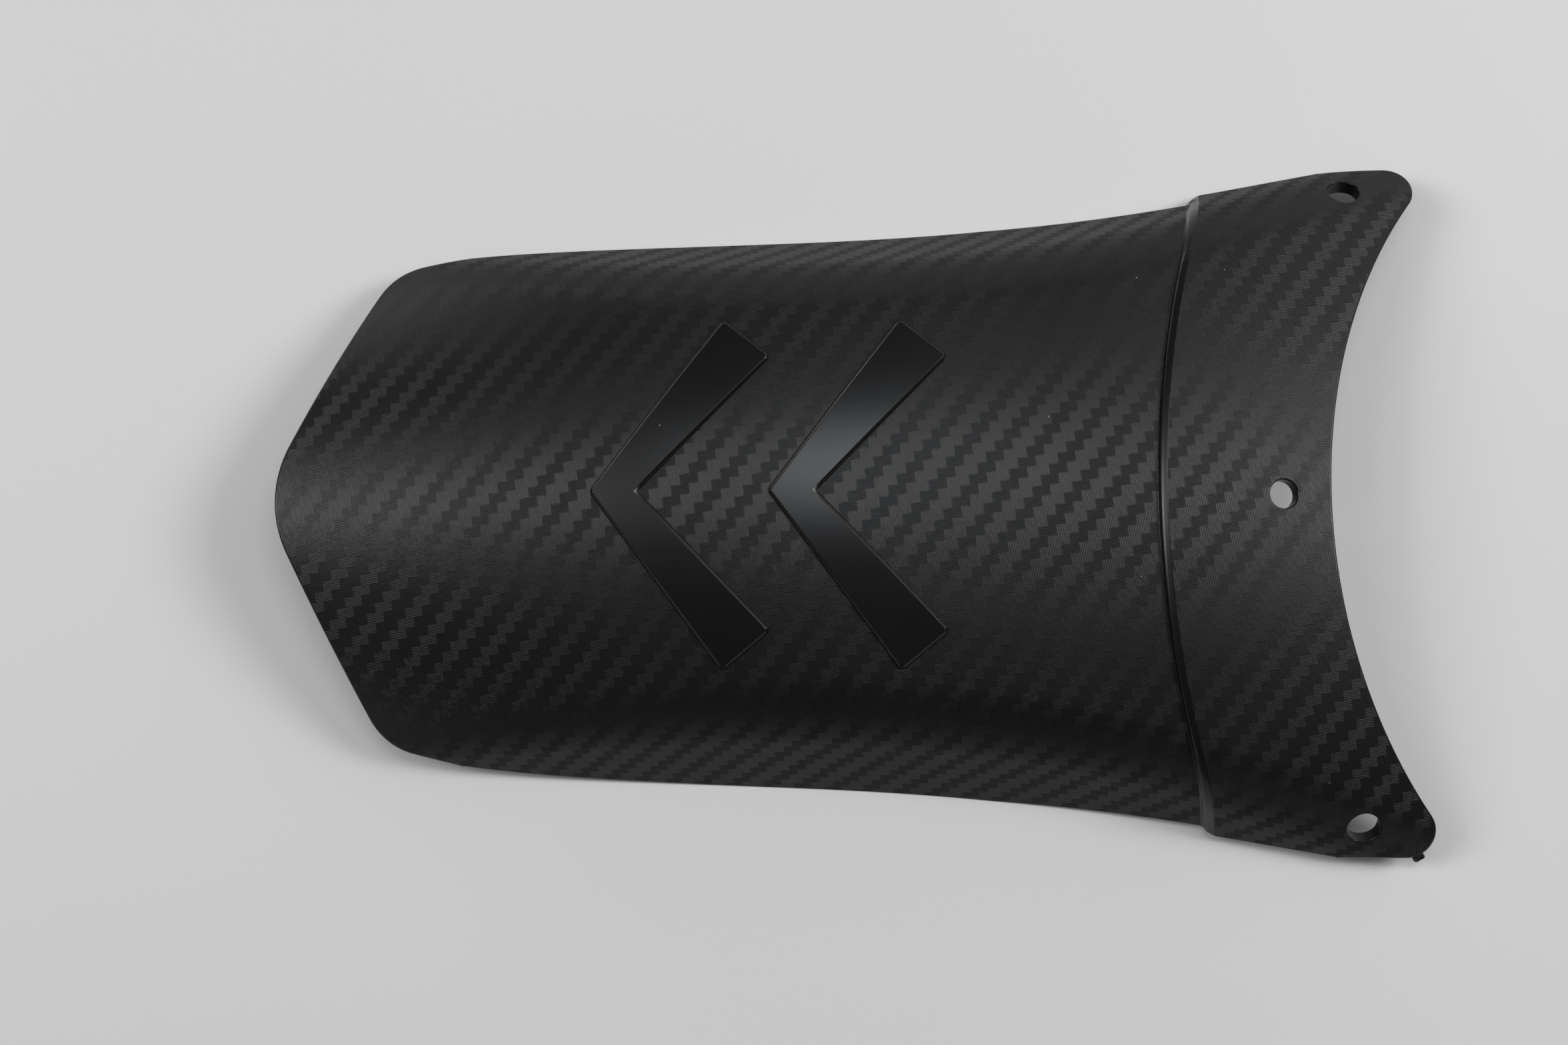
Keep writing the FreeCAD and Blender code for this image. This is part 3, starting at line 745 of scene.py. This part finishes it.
# colours of the plastic and of the dust
DEEP_BLACK = (0.0025, 0.0025, 0.0028, 1.0)
PALE_BLACK = (0.0042, 0.0042, 0.0046, 1.0)
DUST_COLOUR = (0.17, 0.17, 0.17, 1.0)

# dust: patches to a metre, the radius of the largest speck, and the share of patches with none
DUST_PER_METRE = 50.0
DUST_RADIUS = 0.15
DUST_FREE = 0.72

# noise: how fine it is over the part, and the middle of its range
UNEVEN_SCALE = 900.0
MOULD_SCALE = 2500.0
CLOUD_SCALE = 35.0
CLOUD_DETAIL = 3.0
TINT_SCALE = 60.0
TINT_DETAIL = 4.0
NOISE_MIDDLE = (0.3, 0.7)


class Nodes:
    """Short calls for building a node tree."""

    def __init__(self, tree):
        self.tree = tree

    def add(self, kind, **settings):
        node = self.tree.nodes.new(kind)
        for name, value in settings.items():
            setattr(node, name, value)
        return node

    def plug(self, value, socket):
        if isinstance(value, bpy.types.NodeSocket):
            self.tree.links.new(value, socket)
        else:
            socket.default_value = value

    def math(self, operation, *values):
        node = self.add("ShaderNodeMath", operation=operation)
        for value, socket in zip(values, node.inputs):
            self.plug(value, socket)
        return node.outputs[0]

    def span(self, value, from_low, from_high, to_low=0.0, to_high=1.0, smooth_ends=False):
        node = self.add("ShaderNodeMapRange", interpolation_type="SMOOTHSTEP" if smooth_ends else "LINEAR")
        for item, socket in zip((value, from_low, from_high, to_low, to_high), node.inputs):
            self.plug(item, socket)
        return node.outputs[0]

    def mix(self, share, low, high, kind="FLOAT"):
        node = self.add("ShaderNodeMix", data_type=kind)
        for name, value in (("Factor", share), ("A", low), ("B", high)):
            self.plug(value, node.inputs[name])
        return node.outputs["Result"]

    def noise(self, vector, scale, detail=2.0):
        node = self.add("ShaderNodeTexNoise")
        self.plug(vector, node.inputs["Vector"])
        self.plug(scale, node.inputs["Scale"])
        self.plug(detail, node.inputs["Detail"])
        return node.outputs["Fac"]

    def attribute(self, name):
        return self.add("ShaderNodeAttribute", attribute_name=name).outputs["Fac"]

    def plane_parts(self, vector):
        node = self.add("ShaderNodeSeparateXYZ")
        self.plug(vector, node.inputs["Vector"])
        return node.outputs["X"], node.outputs["Y"]


def ridges(n, across):
    """Rounded ridges across a tow, from zero in the grooves to one."""
    spot = n.math("FRACT", n.math("MULTIPLY", across, RIDGES_PER_TOW))
    side = n.math("ABSOLUTE", n.math("SUBTRACT", n.math("MULTIPLY", spot, 2.0), 1.0))
    return n.math("SUBTRACT", 1.0, n.math("POWER", side, RIDGE_POWER))


def weave_ridges(n, weave, steep):
    """Height of a twill, two over and two under, each tow finely grooved; one is the top of a ridge."""
    turned = n.add("ShaderNodeMapping")
    n.plug(weave, turned.inputs["Vector"])
    n.plug((0.0, 0.0, -WEAVE_TURN), turned.inputs["Rotation"])
    n.plug((1.0 / (TOW * MM),) * 3, turned.inputs["Scale"])
    u, v = n.plane_parts(turned.outputs["Vector"])

    # a tow along the part shows for two tows of every four, one further on in each row
    along = n.math("FLOORED_MODULO", n.math("SUBTRACT", u, n.math("FLOOR", v)), TWILL_REPEAT)
    from_middle = n.math("ABSOLUTE", n.math("SUBTRACT", along, 1.0))
    lengthwise = n.span(from_middle, FLOAT_HALF + FLOAT_SOFT, FLOAT_HALF - FLOAT_SOFT)

    # on the steep sides the ridges along the part lean up, one long flank each
    across_arch = n.plane_parts(weave)[1]
    downward = n.math("MULTIPLY", v, n.math("SIGN", across_arch))
    rising = n.math("FRACT", n.math("MULTIPLY", downward, RIDGES_PER_TOW))
    leaning = n.math("MULTIPLY", rising, LEAN_HEIGHT / RIDGE_HEIGHT)
    return n.mix(lengthwise, ridges(n, u), n.mix(steep, ridges(n, v), leaning))


def dusted_black(n, weave, place):
    """Black with soft differences in depth, and a few specks of dust, one to a patch at most."""
    tint = n.add("ShaderNodeValToRGB")
    tint.color_ramp.elements[0].color = DEEP_BLACK
    tint.color_ramp.elements[1].color = PALE_BLACK
    n.plug(n.noise(place, TINT_SCALE, TINT_DETAIL), tint.inputs["Fac"])
    patch = n.add("ShaderNodeTexVoronoi", voronoi_dimensions="2D")
    n.plug(weave, patch.inputs["Vector"])
    n.plug(DUST_PER_METRE, patch.inputs["Scale"])
    chance = n.add("ShaderNodeSeparateColor")
    n.plug(patch.outputs["Color"], chance.inputs["Color"])
    reach = n.span(chance.outputs["Red"], DUST_FREE, 1.0, 0.0, DUST_RADIUS * MM * DUST_PER_METRE)
    speck = n.math("LESS_THAN", patch.outputs["Distance"], reach)
    return n.mix(speck, tint.outputs["Color"], DUST_COLOUR, "RGBA")


def shell_material():
    """Satin black plastic with an embossed twill weave."""
    material = bpy.data.materials.new("woven_plastic")
    material.use_nodes = True
    n = Nodes(material.node_tree)
    shader = material.node_tree.nodes["Principled BSDF"]
    place = n.add("ShaderNodeTexCoord").outputs["Object"]
    weave = n.add("ShaderNodeUVMap", uv_map="weave").outputs["UV"]
    woven = n.attribute("woven")
    steep = n.span(n.attribute("steep"), *STEEP_LEAN, smooth_ends=True)

    # relief of the weave, and a fine unevenness of the moulding all over
    uneven = n.span(n.noise(place, UNEVEN_SCALE), *NOISE_MIDDLE, *UNEVEN_SHARE)
    height = n.math("MULTIPLY", n.math("MULTIPLY", uneven, RIDGE_HEIGHT), woven)
    relief = n.math("MULTIPLY", weave_ridges(n, weave, steep), height)
    moulded = n.math("MULTIPLY", n.noise(place, MOULD_SCALE), MOULD_HEIGHT)
    bump = n.add("ShaderNodeBump")
    n.plug(n.math("ADD", relief, moulded), bump.inputs["Height"])
    bump.inputs["Distance"].default_value = MM
    n.plug(bump.outputs["Normal"], shader.inputs["Normal"])

    # soft differences in shine: the chevrons are smoother than the weave, the steep sides duller
    shades = n.noise(place, CLOUD_SCALE, CLOUD_DETAIL)
    cloud = n.span(shades, *NOISE_MIDDLE, -CLOUD_ROUGHNESS, CLOUD_ROUGHNESS)
    roughness = n.mix(woven, PLAIN_ROUGHNESS, n.mix(steep, WEAVE_ROUGHNESS, STEEP_ROUGHNESS))
    n.plug(n.math("ADD", roughness, cloud), shader.inputs["Roughness"])
    n.plug(dusted_black(n, weave, place), shader.inputs["Base Color"])
    shader.inputs["Specular IOR Level"].default_value = SPECULAR_LEVEL
    return material


shell.data.materials.append(shell_material())


# floor, in metres
FLOOR_SIZE = 6.0
FLOOR_COLOUR = (0.50, 0.495, 0.49, 1.0)
FLOOR_ROUGHNESS = 0.7


def pale_floor():
    """Plain floor that the part rests on."""
    bpy.ops.mesh.primitive_plane_add(size=FLOOR_SIZE, location=(0, 0, 0))
    plane = bpy.context.object
    plane.name = "floor"
    paint = bpy.data.materials.new("pale_floor")
    paint.use_nodes = True
    shader = paint.node_tree.nodes["Principled BSDF"]
    shader.inputs["Base Color"].default_value = FLOOR_COLOUR
    shader.inputs["Roughness"].default_value = FLOOR_ROUGHNESS
    plane.data.materials.append(paint)
    return plane


floor = pale_floor()


# camera: its place in metres, its turn in degrees, its sensor and lens in millimetres
CAMERA_PLACE = (-0.014015, -0.062868, 0.475599)
CAMERA_TURN = (7.243, 0.095, 0.01)
SENSOR_WIDTH = 36.0
LENS = 50.0

camera_data = bpy.data.cameras.new("camera")
camera_data.sensor_width = SENSOR_WIDTH
camera_data.lens = LENS
camera = bpy.data.objects.new("camera", camera_data)
camera.location = CAMERA_PLACE
camera.rotation_euler = [math.radians(angle) for angle in CAMERA_TURN]
bpy.context.collection.objects.link(camera)
bpy.context.scene.camera = camera


# lamps: sizes and places in metres, power in watts
WHITE = (1.0, 1.0, 1.0)
COOL_WHITE = (0.92, 0.97, 1.0)
SIDE_LAMP = (0.5, 0.35)
LOW_LAMP = (0.9, 0.2)
LAMP_AIM = (0.0, 0.0, 0.02)
WORLD_STRENGTH = 0.07


def softbox(name, place, size, power, colour=WHITE):
    """Rectangular lamp aimed at the middle of the part, its longer side along the part."""
    data = bpy.data.lights.new(name, "AREA")
    data.shape = "RECTANGLE"
    data.size, data.size_y = size
    data.energy = power
    data.color = colour
    lamp = bpy.data.objects.new(name, data)
    lamp.location = place
    lamp.visible_camera = False
    away = (Vector(place) - Vector(LAMP_AIM)).normalized()
    along = (Vector((1, 0, 0)) - away * away.x).normalized()
    lamp.rotation_euler = Matrix((along, away.cross(along), away)).transposed().to_euler()
    bpy.context.collection.objects.link(lamp)


softbox("lamp_over", place=(0.08, 0.22, 1.0), size=(0.5, 0.24), power=3.0, colour=COOL_WHITE)
softbox("lamp_left", place=(-0.60, 0.14, 1.0), size=(0.4, 0.3), power=2.1)
softbox("lamp_left_far", place=(-0.90, 0.08, 0.85), size=SIDE_LAMP, power=5.9)
softbox("lamp_right", place=(0.95, 0.19, 0.85), size=SIDE_LAMP, power=9.8)
softbox("lamp_back_right", place=(0.80, 0.70, 0.7), size=(0.6, 0.6), power=1.8)
softbox("lamp_back", place=(0.0, 1.25, 0.45), size=(0.7, 0.7), power=1.2)
# low lamps, for the light along the raised edges and the steep sides
softbox("lamp_low_left_back", place=(-0.86, 1.0, 0.20), size=LOW_LAMP, power=2.8)
softbox("lamp_low_left_front", place=(-1.04, -0.80, 0.24), size=LOW_LAMP, power=0.8)
softbox("lamp_low_right_back", place=(0.80, 1.05, 0.20), size=LOW_LAMP, power=1.6)
softbox("lamp_low_right_front", place=(0.85, -1.0, 0.20), size=LOW_LAMP, power=1.0)

world = bpy.data.worlds.new("studio")
world.use_nodes = True
backdrop = world.node_tree.nodes["Background"]
backdrop.inputs["Color"].default_value = (*WHITE, 1.0)
backdrop.inputs["Strength"].default_value = WORLD_STRENGTH
bpy.context.scene.world = world
bpy.context.scene.view_settings.view_transform = "Standard"
